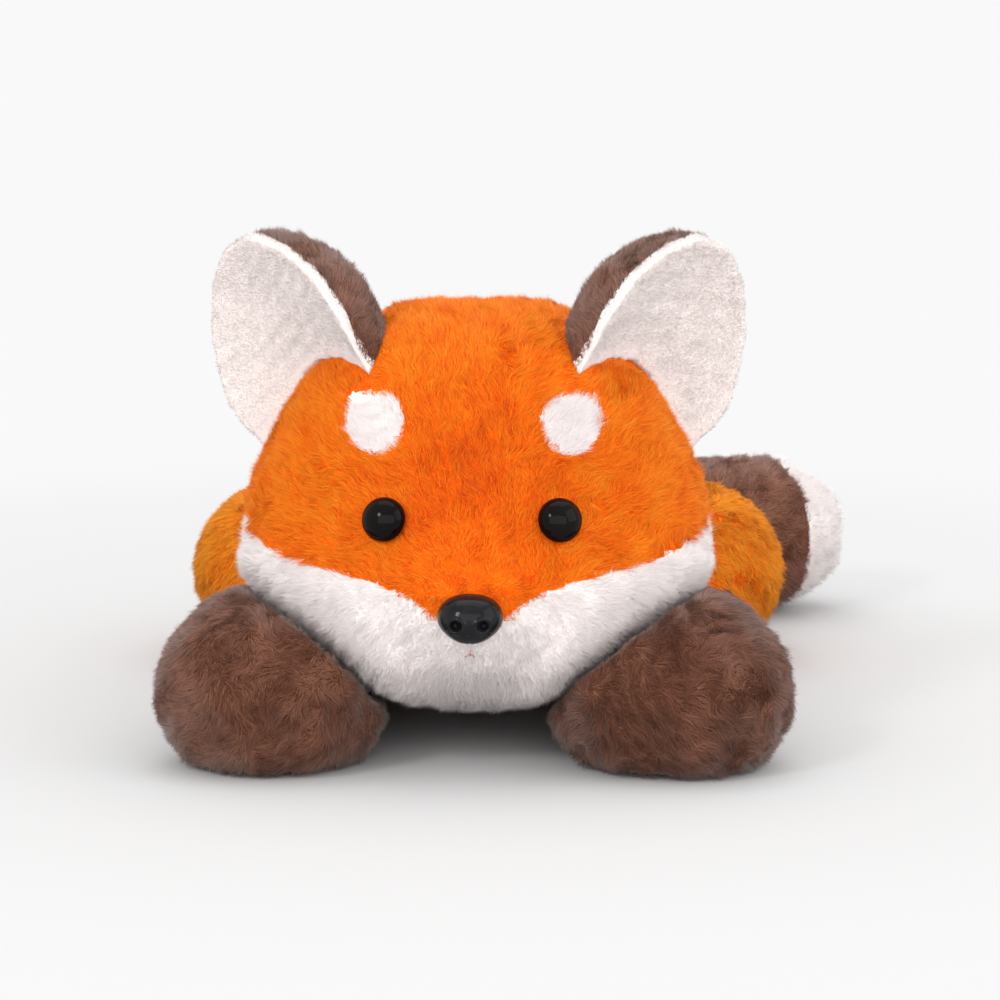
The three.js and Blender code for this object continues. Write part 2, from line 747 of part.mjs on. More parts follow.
function addHead() {
  const group = moving('head');
  const pieces = headPieces();
  piece(group, 'head_skin', pieces.crown, orangePlush);
  pair([group, group], 'cheek_skin', pieces.rightCheek, whitePlush);
  pair([group, group], 'brow_spot', pieces.rightBrow, whitePlush);
  piece(group, 'head_stuffing', pieces.stuffing, stuffingFibre);
  const sides = [
    ['left', acrossMiddle(eyePlace), acrossMiddle(eyeDirection)],
    ['right', eyePlace, eyeDirection],
  ];
  for (const [side, place, direction] of sides) {
    fixing(group, `eye_${side}`, eyeGeometry(), blackPlastic, place, direction);
    const washer = washerGeometry(eyeWasherRadius, washerSink);
    fixing(group, `eye_washer_${side}`, washer, washerPlastic, place, direction);
  }
  const nose = piece(group, 'nose', noseGeometry(), blackPlastic);
  nose.position.copy(nosePlace);
  const noseWasher = washerGeometry(noseWasherRadius, noseWasherSink);
  fixing(group, 'nose_washer', noseWasher, washerPlastic, nosePlace, noseDirection);
  const stitch = new THREE.SphereGeometry(1, dentSides, dentSides / 2);
  stitch.scale(mouthWidth / 2, mouthThickness / 2, mouthThickness / 2);
  const mouth = piece(group, 'mouth_stitch', stitch, mouthThread);
  mouth.position.copy(mouthPlace).addScaledVector(outward(mouthPlace), mouthThickness / 2 + restGap);
}

function addEars() {
  const groups = [moving('ear_left'), moving('ear_right')];
  const pieces = earPieces();
  pair(groups, 'ear_front', pieces.front, whitePlush);
  pair(groups, 'ear_back', pieces.back, brownPlush);
  pair(groups, 'ear_stuffing', pieces.stuffing, stuffingFibre);
}

function addBody() {
  const group = moving('body');
  const pieces = bodyPieces();
  piece(group, 'back_skin', pieces.back, orangePlush);
  piece(group, 'belly_skin', pieces.belly, orangePlush);
  piece(group, 'body_stuffing', pieces.stuffing, stuffingFibre);
}

function addLegs() {
  const front = [moving('front_leg_left'), moving('front_leg_right')];
  const hind = [moving('hind_leg_left'), moving('hind_leg_right')];
  const frontPieces = frontLegPieces();
  const hindPieces = hindLegPieces();
  pair(front, 'front_leg_skin', frontPieces.skin, brownPlush);
  pair(front, 'front_leg_stuffing', frontPieces.stuffing, stuffingFibre);
  pair(hind, 'thigh_skin', hindPieces.thigh, orangePlush);
  pair(hind, 'hind_foot_skin', hindPieces.foot, brownPlush);
  pair(hind, 'hind_leg_stuffing', hindPieces.stuffing, stuffingFibre);
}

function addTail() {
  const group = moving('tail');
  const pieces = tailPieces();
  piece(group, 'tail_skin', pieces.band, brownPlush);
  piece(group, 'tail_tip_skin', pieces.tip, whitePlush);
  piece(group, 'tail_stuffing', pieces.stuffing, stuffingFibre);
}

addBody();
addHead();
addEars();
addLegs();
addTail();

export default fox;
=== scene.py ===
"""Looks for the plush fox: sewn skins with real pile strands, safety eyes and nose, on a pale floor."""
import json
import math
import bpy
import numpy as np
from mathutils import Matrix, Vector, kdtree
from mathutils.bvhtree import BVHTree


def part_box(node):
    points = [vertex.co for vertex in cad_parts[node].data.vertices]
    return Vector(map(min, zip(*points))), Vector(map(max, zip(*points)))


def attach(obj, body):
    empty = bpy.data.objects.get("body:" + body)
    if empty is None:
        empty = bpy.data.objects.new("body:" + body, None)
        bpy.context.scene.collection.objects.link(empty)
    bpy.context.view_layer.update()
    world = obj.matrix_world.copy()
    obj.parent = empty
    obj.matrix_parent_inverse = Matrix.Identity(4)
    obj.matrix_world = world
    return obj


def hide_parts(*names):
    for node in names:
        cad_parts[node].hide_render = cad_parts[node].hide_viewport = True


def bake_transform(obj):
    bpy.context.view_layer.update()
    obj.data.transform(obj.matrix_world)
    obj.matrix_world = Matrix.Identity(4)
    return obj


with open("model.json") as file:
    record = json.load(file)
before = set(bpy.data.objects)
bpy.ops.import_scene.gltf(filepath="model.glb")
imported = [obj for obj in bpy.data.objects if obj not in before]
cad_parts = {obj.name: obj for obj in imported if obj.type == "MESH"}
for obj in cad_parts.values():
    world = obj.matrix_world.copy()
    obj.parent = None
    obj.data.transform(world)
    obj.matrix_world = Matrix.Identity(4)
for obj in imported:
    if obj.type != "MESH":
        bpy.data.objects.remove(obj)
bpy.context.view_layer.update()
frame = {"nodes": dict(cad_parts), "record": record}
MM = 0.001
rng = np.random.default_rng(7)
scene = bpy.context.scene


# ---------------------------------------------------------------- camera
azimuth, elevation = math.radians(1.6), math.radians(8.3)
target = Vector((0, -0.122, 0.075))
away = Vector((
    math.sin(azimuth) * math.cos(elevation),
    -math.cos(azimuth) * math.cos(elevation),
    math.sin(elevation),
))
camera = bpy.data.objects.new("camera", bpy.data.cameras.new("camera"))
scene.collection.objects.link(camera)
camera.location = target + away
camera.rotation_euler = (-away).to_track_quat("-Z", "Y").to_euler()
camera.data.lens = 108
camera.data.sensor_width = 36
camera.data.shift_x = 0.0215
camera.data.shift_y = 0.005
scene.camera = camera


# ---------------------------------------------------------------- materials
def shader_node(tree, kind, **sockets):
    made = tree.nodes.new(f"ShaderNode{kind}")
    for key, value in sockets.items():
        made.inputs[key.replace("_", " ")].default_value = value
    return made


def principled(name, color, roughness, **sockets):
    made = bpy.data.materials.new(name)
    made.use_nodes = True
    shader = made.node_tree.nodes["Principled BSDF"]
    shader.inputs["Base Color"].default_value = (*color, 1)
    shader.inputs["Roughness"].default_value = roughness
    for key, value in sockets.items():
        shader.inputs[key.replace("_", " ")].default_value = value
    made.diffuse_color = (*color, 1)
    return made


def mottled(name, dark, light, scale, roughness, bump, **sockets):
    """A colour that wanders between two tones, with a fine nap in its bump."""
    made = principled(name, light, roughness, **sockets)
    tree = made.node_tree
    shader = tree.nodes["Principled BSDF"]
    place = shader_node(tree, "TexCoord")
    noise = shader_node(tree, "TexNoise", Scale=scale, Detail=4)
    ramp = shader_node(tree, "ValToRGB")
    for element, position, tone in zip(ramp.color_ramp.elements, (0.35, 0.65), (dark, light)):
        element.position = position
        element.color = (*tone, 1)
    nap = shader_node(tree, "TexNoise", Scale=scale * 6)
    relief = shader_node(tree, "Bump", Strength=bump, Distance=1 * MM)
    for source, socket in (
        (place.outputs["Object"], noise.inputs["Vector"]),
        (place.outputs["Object"], nap.inputs["Vector"]),
        (noise.outputs["Fac"], ramp.inputs["Fac"]),
        (ramp.outputs["Color"], shader.inputs["Base Color"]),
        (nap.outputs["Fac"], relief.inputs["Height"]),
        (relief.outputs["Normal"], shader.inputs["Normal"]),
    ):
        tree.links.new(source, socket)
    return made


# Each pile's colours, from its deepest strands to its tips; the darker deep tones are painted shade down in
# the pile, on top of the pile's own varied tone
TONES = {
    "orange": [(0.66, 0.062, 0.001), (0.95, 0.142, 0.001), (1.0, 0.222, 0.003), (1.0, 0.330, 0.018)],
    "brown": [(0.065, 0.020, 0.010), (0.125, 0.043, 0.022), (0.195, 0.072, 0.039), (0.300, 0.128, 0.078)],
    "white": [(0.95, 0.86, 0.84), (0.975, 0.89, 0.87), (0.99, 0.91, 0.89), (1.0, 0.935, 0.92)],
    "fleece": [(0.93, 0.83, 0.80), (0.94, 0.845, 0.815), (0.95, 0.86, 0.83), (0.955, 0.875, 0.845)],
}
SHEEN = {"orange": 0.01, "brown": 0.25, "white": 0.1, "fleece": 0.1}
piles = {
    color: [
        principled(f"{color}_pile_{index}", tone, 0.62, Sheen_Weight=SHEEN[color], Specular_IOR_Level=0.14)
        for index, tone in enumerate(tones)
    ]
    for color, tones in TONES.items()
}
# The cloth under the pile takes the pile's two deepest tones, painted shade among the roots
cloths = {
    color: mottled(f"{color}_cloth", tones[0], tones[1], 220, 0.95, 0.5, Sheen_Weight=SHEEN[color],
                   Specular_IOR_Level=0.1)
    for color, tones in TONES.items()
}
eye_black = mottled("eye_black", (0.003, 0.002, 0.002), (0.006, 0.004, 0.004), 60, 0.03, 0.002,
                    Specular_IOR_Level=0.09)
nose_black = mottled("nose_black", (0.006, 0.006, 0.007), (0.011, 0.011, 0.013), 300, 0.13, 0.02,
                     Specular_IOR_Level=0.14)
thread = mottled("mouth_thread", (0.42, 0.2, 0.16), (0.6, 0.36, 0.32), 900, 0.85, 0.6)
washer_white = mottled("washer_plastic", (0.72, 0.7, 0.65), (0.8, 0.78, 0.73), 120, 0.45, 0.05)


# ---------------------------------------------------------------- meshes
def mesh_object(name, points, faces, smooth=True):
    mesh = bpy.data.meshes.new(name)
    mesh.from_pydata([tuple(p) for p in points], [], [tuple(f) for f in faces])
    if smooth:
        mesh.shade_smooth()
    made = bpy.data.objects.new(name, mesh)
    scene.collection.objects.link(made)
    return made


def read(rows, attribute, width, kind=np.float64):
    values = np.empty(len(rows) * width, dtype=kind)
    rows.foreach_get(attribute, values)
    return values.reshape(-1, width)


def as_arrays(mesh):
    mesh.calc_loop_triangles()
    return (
        read(mesh.vertices, "co", 3),
        read(mesh.vertices, "normal", 3),
        read(mesh.loop_triangles, "vertices", 3, np.int32),
    )


def triangles(node):
    points, _, corners = as_arrays(frame["nodes"][node].data)
    return points, corners


def together(nodes):
    points, corners, count = [], [], 0
    for node in nodes:
        p, c = triangles(node)
        points.append(p)
        corners.append(c + count)
        count += len(p)
    return np.concatenate(points), np.concatenate(corners)


def tree_of(points, faces):
    return BVHTree.FromPolygons([Vector(p) for p in points], [tuple(f) for f in faces])


def applied(made):
    """The object with its modifiers turned into mesh."""
    graph = bpy.context.evaluated_depsgraph_get()
    mesh = bpy.data.meshes.new_from_object(made.evaluated_get(graph))
    made.modifiers.clear()
    old, made.data = made.data, mesh
    bpy.data.meshes.remove(old)
    return made


def outer_shell(mesh):
    """Marks the vertices of the largest connected piece of a mesh."""
    edges = read(mesh.edges, "vertices", 2, np.int64)
    label = np.arange(len(mesh.vertices))
    while True:
        low = np.minimum(label[edges[:, 0]], label[edges[:, 1]])
        new = label.copy()
        np.minimum.at(new, edges[:, 0], low)
        np.minimum.at(new, edges[:, 1], low)
        new = new[new]
        if (new == label).all():
            break
        label = new
    names, sizes = np.unique(label, return_counts=True)
    return label == names[sizes.argmax()]


def stuffed(name, nodes, voxel, smoothing, inset):
    """One smooth closed form round these CAD nodes, a little inside them to leave room for the pile."""
    points, corners = together(nodes)
    made = mesh_object(name, points, corners)
    remesh = made.modifiers.new("remesh", "REMESH")
    remesh.mode = "VOXEL"
    remesh.voxel_size = voxel
    smooth = made.modifiers.new("smooth", "SMOOTH")
    smooth.factor = 0.5
    smooth.iterations = smoothing
    applied(made)
    keep = outer_shell(made.data)
    points, normals, _ = as_arrays(made.data)
    points = points - normals * inset
    points[:, 2] = np.maximum(points[:, 2], CLOTH_OVER_FLOOR)
    renumber = np.cumsum(keep) - 1
    faces = [[renumber[v] for v in p.vertices] for p in made.data.polygons if keep[p.vertices[0]]]
    bpy.data.objects.remove(made)
    return points[keep], faces


CLOTH_OVER_FLOOR = 0.25 * MM
PILE_OVER_FLOOR = 0.1 * MM
FORMS = {
    # body: (CAD nodes, smoothing voxel in mm, smoothing steps, inset in mm)
    "body": (["back_skin", "belly_skin", "body_stuffing"], 2.6, 24, 1.4),
    "head": (["head_skin", "cheek_skin_left", "cheek_skin_right", "brow_spot_left", "brow_spot_right",
              "head_stuffing"], 2.2, 16, 1.6),
    "tail": (["tail_skin", "tail_tip_skin", "tail_stuffing"], 2.4, 22, 1.2),
}
SKINS = {
    # node: (pile colour, length in mm, strands per square mm, strand width in mm, standing, swirl)
    "back_skin": ("orange", 3.0, 2.6, 0.26, 0.66, 0.6),
    "belly_skin": ("orange", 3.0, 1.0, 0.34, 0.5, 0.3),
    "head_skin": ("orange", 3.1, 4.8, 0.21, 0.68, 0.8),
    "tail_skin": ("brown", 2.8, 3.8, 0.22, 0.66, 0.9),
    "tail_tip_skin": ("white", 2.8, 3.8, 0.21, 0.78, 0.3),
}
SIDES = ("left", "right")
for side in SIDES:
    FORMS[f"ear_{side}"] = ([f"ear_front_{side}", f"ear_back_{side}", f"ear_stuffing_{side}"], 1.4, 14, 0.3)
    FORMS[f"front_leg_{side}"] = ([f"front_leg_skin_{side}", f"front_leg_stuffing_{side}"], 2.4, 14, 1.0)
    FORMS[f"hind_leg_{side}"] = (
        [f"thigh_skin_{side}", f"hind_foot_skin_{side}", f"hind_leg_stuffing_{side}"], 2.4, 18, 0.8)
    SKINS[f"cheek_skin_{side}"] = ("white", 2.7, 4.8, 0.19, 0.78, 0.3)
    SKINS[f"brow_spot_{side}"] = ("white", 3.0, 4.8, 0.19, 0.88, 0.2)
    SKINS[f"ear_front_{side}"] = ("fleece", 1.0, 7.5, 0.14, 0.9, 0.15)
    SKINS[f"ear_back_{side}"] = ("brown", 2.4, 4.4, 0.21, 0.74, 0.8)
    SKINS[f"front_leg_skin_{side}"] = ("brown", 2.8, 4.8, 0.20, 0.56, 1.1)
    SKINS[f"thigh_skin_{side}"] = ("orange", 2.8, 3.2, 0.23, 0.64, 0.6)
    SKINS[f"hind_foot_skin_{side}"] = ("brown", 2.8, 3.0, 0.22, 0.6, 0.6)
# How much lighter some skins' pile is, counted in tones; on the back, the thighs and the left paw this is
# painted light
PAINTED_LIGHT_AND_TONE_SHIFT = {
    "tail_skin": 0.7, "ear_back_left": 0.3, "ear_back_right": 0.3, "back_skin": 1.3,
    "thigh_skin_left": 1.5, "thigh_skin_right": 1.5, "front_leg_skin_left": 0.35,
}

NOSE = np.array([0, -0.213, 0.0533])
BROW = np.array([0, -0.2, 0.093])
MOST_STRANDS = 60000


def unit(v):
    return v / np.maximum(np.linalg.norm(v, axis=1, keepdims=True), 1e-9)


def without(v, normals):
    """The part of each vector that lies along the cloth."""
    return v - normals * np.sum(v * normals, axis=1, keepdims=True)


# The way the pile is brushed on each kind of form: outward to its own side, along Y and along Z
LAY = {
    "body": (0.25, 1, -0.5),
    "ear": (0.35, 0, 1),
    "front": (0.75, -0.35, -0.45),
    "hind": (0.3, -0.55, -0.7),
}
TAIL_LAY = (0.87, 0.4, 0)
TAIL_TIP_FROM, TAIL_TIP_MIDDLE, TAIL_TIP_SPREAD = 0.095, np.array([0.1, 0.1, 0.03]), 30
CHIN_HEIGHT, CHIN_DROP = 0.06, 0.02


def lay(body, p):
    """The way the pile is brushed at each point."""
    flow = np.zeros_like(p)
    if body == "head":
        flow = p - NOSE
        flow[:, 2] -= CHIN_DROP * (p[:, 2] < CHIN_HEIGHT)
    elif body == "tail":
        flow[:] = TAIL_LAY
        flow += np.where(p[:, :1] > TAIL_TIP_FROM, (p - TAIL_TIP_MIDDLE) * TAIL_TIP_SPREAD, 0)
    else:
        outward, along, up = LAY[body.split("_")[0]]
        flow[:] = (0, along, up)
        flow[:, :1] = outward * np.sign(p[:, :1])
    return unit(flow)


def ripple(p, wavelength, seed, parts=5):
    """A smooth seeded vector field, about one unit tall, that changes over one wavelength in metres."""
    local = np.random.default_rng(seed)
    field = np.zeros_like(p)
    for _ in range(parts):
        wave = local.normal(size=3)
        wave = wave / np.linalg.norm(wave) * 2 * math.pi / (wavelength * local.uniform(0.7, 1.5))
        push = local.normal(size=3)
        field += np.sin(p @ wave + local.uniform(0, 6.3))[:, None] * push / np.linalg.norm(push)
    return field / math.sqrt(parts / 2)


SPIKE_SIDES = 3
# A spike of this share of its width in radius covers about what a flat strand of that width does
SPIKE_RADIUS_SHARE = 0.58


def strands_mesh(name, roots, tips, normals, widths, tones, materials):
    """Thin three-sided spikes from root to tip, shaded by the direction that the cloth under them faces."""
    count = len(roots)
    along = unit(tips - roots)
    across = unit(np.cross(along, normals))
    third = np.cross(along, across)
    spin = rng.uniform(0, 2 * math.pi, count)
    verts = np.empty((count, SPIKE_SIDES + 1, 3), dtype=np.float32)
    for corner in range(SPIKE_SIDES):
        angle = (spin + corner * 2 * math.pi / SPIKE_SIDES)[:, None]
        round_axis = across * np.cos(angle) + third * np.sin(angle)
        verts[:, corner] = roots + round_axis * (widths[:, None] * SPIKE_RADIUS_SHARE)
    verts[:, SPIKE_SIDES] = tips
    verts[:, :, 2] = np.maximum(verts[:, :, 2], PILE_OVER_FLOOR)
    mesh = bpy.data.meshes.new(name)
    mesh.vertices.add(count * 4)
    mesh.vertices.foreach_set("co", verts.ravel())
    order = np.arange(count, dtype=np.int32)[:, None]
    loops = (order * 4 + np.array([0, 1, 3, 1, 2, 3, 2, 0, 3], dtype=np.int32)).ravel()
    mesh.loops.add(len(loops))
    mesh.loops.foreach_set("vertex_index", loops)
    mesh.polygons.add(count * 3)
    mesh.polygons.foreach_set("loop_start", np.arange(count * 3, dtype=np.int32) * 3)
    for material in materials:
        mesh.materials.append(material)
    mesh.polygons.foreach_set("material_index", np.repeat(tones, 3).astype(np.int32))
    mesh.update(calc_edges=True)
    mesh.shade_smooth()
    shading = unit(normals + 0.4 * along + rng.normal(0, 0.3, normals.shape))
    mesh.normals_split_custom_set_from_vertices(np.repeat(shading, 4, axis=0).tolist())
    made = bpy.data.objects.new(name, mesh)
    scene.collection.objects.link(made)
    return made


# ---------------------------------------------------------------- forms
def ramp_down(share):
    """1 at 0, down smoothly to 0 at 1."""
    return 1 - share * share * (3 - 2 * share)


def normals_of(points, faces):
    mesh = bpy.data.meshes.new("measured")
    mesh.from_pydata([tuple(p) for p in points], [], faces)
    normals = as_arrays(mesh)[1]
    bpy.data.meshes.remove(mesh)
    return normals


def leaned_in(points, faces):
    """The right paw's low inner side spreads further in under the chin than the left one's does."""
    forward = np.clip((-0.125 - points[:, 1]) / 0.045, 0, 1)
    inner = np.clip((0.062 - points[:, 0]) / 0.03, 0, 1)
    low = np.clip((0.05 - points[:, 2]) / 0.02, 0, 1)
    points[:, 0] -= 4.0 * MM * forward * inner * low
    return points, faces


def sewn_on(points, faces, tree, reach, sunk):
    """Draws an ear's base onto the head, where its solid keeps clear of the head, as its seam does."""
    normals = normals_of(points, faces)
    hits = [tree.find_nearest(Vector(p)) for p in points]
    inward = -np.array([hit[1] for hit in hits])
    gap = np.array([hit[3] for hit in hits])
    seam = np.flatnonzero((gap < reach) & (np.sum(normals * inward, axis=1) > 0.55))
    near = kdtree.KDTree(len(seam))
    for index, vertex in enumerate(seam):
        near.insert(Vector(points[vertex]), index)
    near.balance()
    moved = points.copy()
    for index, p in enumerate(points):
        found = near.find_n(Vector(p), 10)
        share = ramp_down(min(1, sum(entry[2] for entry in found) / len(found) / reach))
        if share > 0:
            here = seam[[entry[1] for entry in found]]
            moved[index] += share * (gap[here].mean() + sunk) * inward[here].mean(0)
    return moved, faces


def puffed(points, faces, tree, reach, clear, most):
    """Swells a cheek forward into the hollow between it and the paw that it lies on."""
    normals = normals_of(points, faces)
    moved = points.copy()
    for index, p in enumerate(points):
        hit = tree.find_nearest(Vector(p), reach)
        if hit[0] is None or hit[3] <= clear:
            continue
        toward = (hit[0] - Vector(p)).normalized().dot(Vector(normals[index]))
        share = ramp_down(hit[3] / reach) * min(1, max(0, toward / 0.5))
        share *= min(1, max(0, (-0.13 - p[1]) / 0.025)) * min(1, max(0, (p[2] - 0.018) / 0.012))
        push = normals[index] + np.array([0, -1.3, 0])
        moved[index] += push / np.linalg.norm(push) * min(most, hit[3] - clear) * share
    return moved, faces


def filled(points, faces, front, share, most):
    """Fills part of an ear's cup, whose fleece is soft and thick; front is the CAD skin that lines it."""
    spread = front - front.mean(0)
    facing = np.linalg.svd(spread, full_matrices=False)[2][2]
    facing = facing * -np.sign(facing[1])
    along = points @ facing
    inside = np.clip((np.sum(normals_of(points, faces) * facing, axis=1) - 0.25) / 0.3, 0, 1)
    depth = np.clip(np.percentile(along[inside > 0.5], 92) - along - 0.5 * MM, 0, most)
    return points + facing * (share * depth * inside)[:, None], faces


bases, trees = {}, {}
for body, (nodes, voxel, smoothing, inset) in FORMS.items():
    bases[body] = stuffed(f"form_{body}", nodes, voxel * MM, smoothing, inset * MM)
    if body == "front_leg_right":
        bases[body] = leaned_in(*bases[body])
    if body.startswith("ear"):
        bases[body] = filled(*bases[body], front=triangles(nodes[0])[0], share=0.4, most=9 * MM)
        bases[body] = sewn_on(*bases[body], trees["head"], reach=14 * MM, sunk=2.5 * MM)
    trees[body] = tree_of(*bases[body])
for side in SIDES:
    paw = trees[f"front_leg_{side}"]
    bases["head"] = puffed(*bases["head"], paw, reach=34 * MM, clear=1.0 * MM, most=11 * MM)
trees["head"] = tree_of(*bases["head"])
node_trees = {node: tree_of(*triangles(node)) for node in SKINS}

eyes = {}
for side in SIDES:
    washer = np.array([v.co for v in frame["nodes"][f"eye_washer_{side}"].data.vertices]).mean(0)
    button = np.array([v.co for v in frame["nodes"][f"eye_{side}"].data.vertices])
    far = button[np.argsort(np.linalg.norm(button - washer, axis=1))[-16:]].mean(0)
    facing = (far - washer) / np.linalg.norm(far - washer)
    eyes[side] = (washer + facing * 4.3 * MM, facing)
# Round each button: its place, how far no pile grows, and how far it grows short, in mm
BARE = [(place, 5.4, 7.6) for place, _ in eyes.values()] + [(NOSE, 7.4, 11.0)]


# ---------------------------------------------------------------- skins and pile
FRONT_WRAP = 1.8 * MM


def nearest_node(p, nodes):
    """The CAD skin that a point belongs to; an ear's white front wraps a little round its rim."""
    best, chosen = 1, nodes[0]
    for node in nodes:
        hit = node_trees[node].find_nearest(p, 0.03)
        if hit[0] is None:
            continue
        distance = hit[3] - (FRONT_WRAP if node.startswith("ear_front") else 0)
        if distance < best:
            best, chosen = distance, node
    return chosen


def surface(body, nodes):
    """Splits a stuffed form into one cloth for each of its CAD skins; the whole serves for the roots."""
    points, faces = bases[body]
    whole = mesh_object(f"whole_{body}", points, faces)
    middles = [f.center.copy() for f in whole.data.polygons]
    owner = [nearest_node(middle, nodes) for middle in middles] if len(nodes) > 1 else nodes * len(faces)
    arrays = as_arrays(whole.data)
    skins = {}
    for node in nodes:
        chosen = [face for face, name in zip(faces, owner) if name == node]
        used = sorted({v for face in chosen for v in face})
        renumber = {v: i for i, v in enumerate(used)}
        made = mesh_object(f"{node}_cloth", points[used], [[renumber[v] for v in f] for f in chosen])
        made.data.materials.append(cloths[SKINS[node][0]])
        skins[node] = made
    bpy.data.objects.remove(whole)
    return arrays, skins


def fineness(normals):
    """Pile that faces forward or up is drawn finer than pile that faces back or down."""
    return 0.5 + 1.05 * np.clip(0.25 - normals[:, 1] + 0.3 * normals[:, 2], 0, 1)


def scatter(arrays, density):
    """Random roots on a form, with the cloth's normal at each."""
    points, normals, corners = arrays
    a, b, c = (points[corners[:, i]] for i in range(3))
    across = np.cross(b - a, c - a)
    size = np.linalg.norm(across, axis=1)
    area = size / 2 * fineness(across / np.maximum(size, 1e-12)[:, None])
    count = int(area.sum() / MM ** 2 * density)
    chosen = np.searchsorted(np.cumsum(area), rng.random(count) * area.sum())
    chosen = np.minimum(chosen, len(area) - 1)
    u, v = rng.random((2, count))
    flip = u + v > 1
    u, v = np.where(flip, 1 - u, u), np.where(flip, 1 - v, v)
    shares = np.stack([1 - u - v, u, v], axis=1)[:, :, None]
    mine = corners[chosen]
    return (points[mine] * shares).sum(1), unit((normals[mine] * shares).sum(1))


# Pile this near another form grows shorter, down to its shortest share, and pile this deep in it is left out
TOUCH_REACH, TOUCH_DEPTH = 0.009, -0.002
SHORTEST, SHORTEST_ON_PAWS = 0.3, 0.9
# The muzzle's pile starts at its shortest share and grows to full length over these distances from the nose
MUZZLE_SHARE, MUZZLE_FROM, MUZZLE_OVER = 0.42, 12, 36


def overlaps(one, other):
    a, b = bases[one][0], bases[other][0]
    return bool(((a.min(0) - 0.012) < b.max(0)).all() and ((b.min(0) - 0.012) < a.max(0)).all())


def chosen_roots(body, nodes, roots, normals):
    """For each root: the skin that it grows from, whether it is kept, and its share of the full length."""
    keep = np.ones(len(roots), dtype=bool)
    trim = np.ones(len(roots))
    near = [name for name in trees if name != body and overlaps(body, name)]
    names = []
    leaning = unit(without(lay(body, roots), normals))
    visible = roots + 1.6 * MM * leaning + 1.6 * MM * normals
    if body == "head":
        from_nose = np.linalg.norm(roots - NOSE, axis=1) / MM - MUZZLE_FROM
        trim *= np.clip(MUZZLE_SHARE + (1 - MUZZLE_SHARE) * from_nose / MUZZLE_OVER, MUZZLE_SHARE, 1)
    for index, root in enumerate(roots):
        p = Vector(root)
        names.append(nearest_node(Vector(visible[index]), nodes) if len(nodes) > 1 else nodes[0])
        for other in near:
            hit = trees[other].find_nearest(p, TOUCH_REACH)
            if hit[0] is None:
                continue
            gap = (p - hit[0]).dot(hit[1])
            if gap < TOUCH_DEPTH:
                keep[index] = False
            else:
                least = SHORTEST_ON_PAWS if body == "head" and other.startswith("front") else SHORTEST
                trim[index] = min(trim[index], least + (1 - least) * max(gap, 0) / TOUCH_REACH)
    # Under a form, where it lies on the floor, less than a third of the pile is drawn.
    keep &= ~((normals[:, 2] < -0.8) & (roots[:, 2] < 0.004) & (rng.random(len(roots)) < 0.7))
    if body == "head":
        for place, bare, short in BARE:
            distance = np.linalg.norm(roots - place, axis=1) / MM
            keep &= distance > bare
            trim *= np.clip((distance - bare) / (short - bare), 0, 1) * 0.6 + 0.4
    return np.array(names), keep, trim


def tufted(p, tips, color, density, brow):
    """Neighbouring strands lean together into small tufts."""
    spacing = 1.2 if color == "fleece" else 1.8
    heads = rng.choice(len(p), max(4, int(len(p) / (density * spacing ** 2))), replace=False)
    tree = kdtree.KDTree(len(heads))
    for index, head in enumerate(heads):
        tree.insert(Vector(p[head]), index)
    tree.balance()
    leader = heads[np.array([tree.find(Vector(q))[1] for q in p])]
    pull = ({"brown": 0.3, "orange": 0.24}.get(color, 0.08) + 0.25 * brow) * rng.uniform(0.5, 1.2, len(p))
    return tips + pull[:, None] * (tips[leader] - tips)


def grow_skin(body, node, p, n, cut, boldness):
    """Grows one skin's pile from its roots p, with cloth normals n and length shares cut."""
    color, length, density, width, standing, swirl = SKINS[node]
    curl = ripple(p, 0.03, 11) + 0.6 * ripple(p, 0.012, 23) + 0.6 * ripple(p, 0.006, 29)
    flow = unit(without(lay(body, p) + swirl * curl, n))
    jitter = rng.normal(0, 0.2, p.shape)
    first = unit(n * standing + flow * (1 - standing) + jitter)
    bend = flow * 0.5 + 0.24 * ripple(p, 0.005, 31) + rng.normal(0, 0.12, p.shape)
    bend[:, 2] -= 0.06
    rise = rng.uniform(-1, 1, len(p))
    tall = length * MM * cut * (1 + 0.12 * ripple(p, 0.012, 5)[:, 0]) * (0.9 + 0.22 * rise)
    brow = np.exp(-(np.linalg.norm(p - BROW, axis=1) / 0.026) ** 2) * (node == "head_skin")
    tips = tufted(p, p + tall[:, None] * (first + bend), color, density * boldness, brow)
    mottle = 0.4 if color == "brown" else 0.2
    tone_field = mottle * (ripple(p, 0.014, 41)[:, 0] + ripple(p, 0.005, 43)[:, 0])
    # Painted light lifts the pile on the back, the thighs and the left paw; the pile grows darker round the
    # brow
    tone_field += PAINTED_LIGHT_AND_TONE_SHIFT.get(node, 0) - 0.8 * brow
    # Shorter strands take the darker tones, painted shade deep in the pile; the noise spreads the pile's own
    # tone
    tones = np.clip(np.round(1.6 + tone_field + 0.9 * rise + rng.normal(0, 0.4, len(p))), 0, 3)
    widths = width * MM * rng.uniform(0.7, 1.15, len(p)) / np.sqrt(boldness * fineness(n))
    parts = math.ceil(len(p) / MOST_STRANDS)
    for part in range(parts):
        mine = slice(part, None, parts)
        label = f"{node}_pile" if parts == 1 else f"{node}_pile_{part + 1}"
        made = strands_mesh(label, p[mine], tips[mine], n[mine], widths[mine], tones[mine], piles[color])
        carried(made, body)


def carried(made, body):
    """Rides on its body; an ear's piece looks up its hinge but stays unattached, its placement baked into its
    mesh.
    """
    if not body.startswith("ear"):
        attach(made, body)
        return
    hinge = next(joint for joint in frame["record"]["behaviour"]["joints"] if joint["child"] == body)
    place, axis = Vector(hinge["pos_m"]), Vector(hinge["axis"]).normalized()
    toward = Vector(bases[body][0].mean(0)) - place
    toward = (toward - axis * toward.dot(axis)).normalized()
    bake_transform(made)


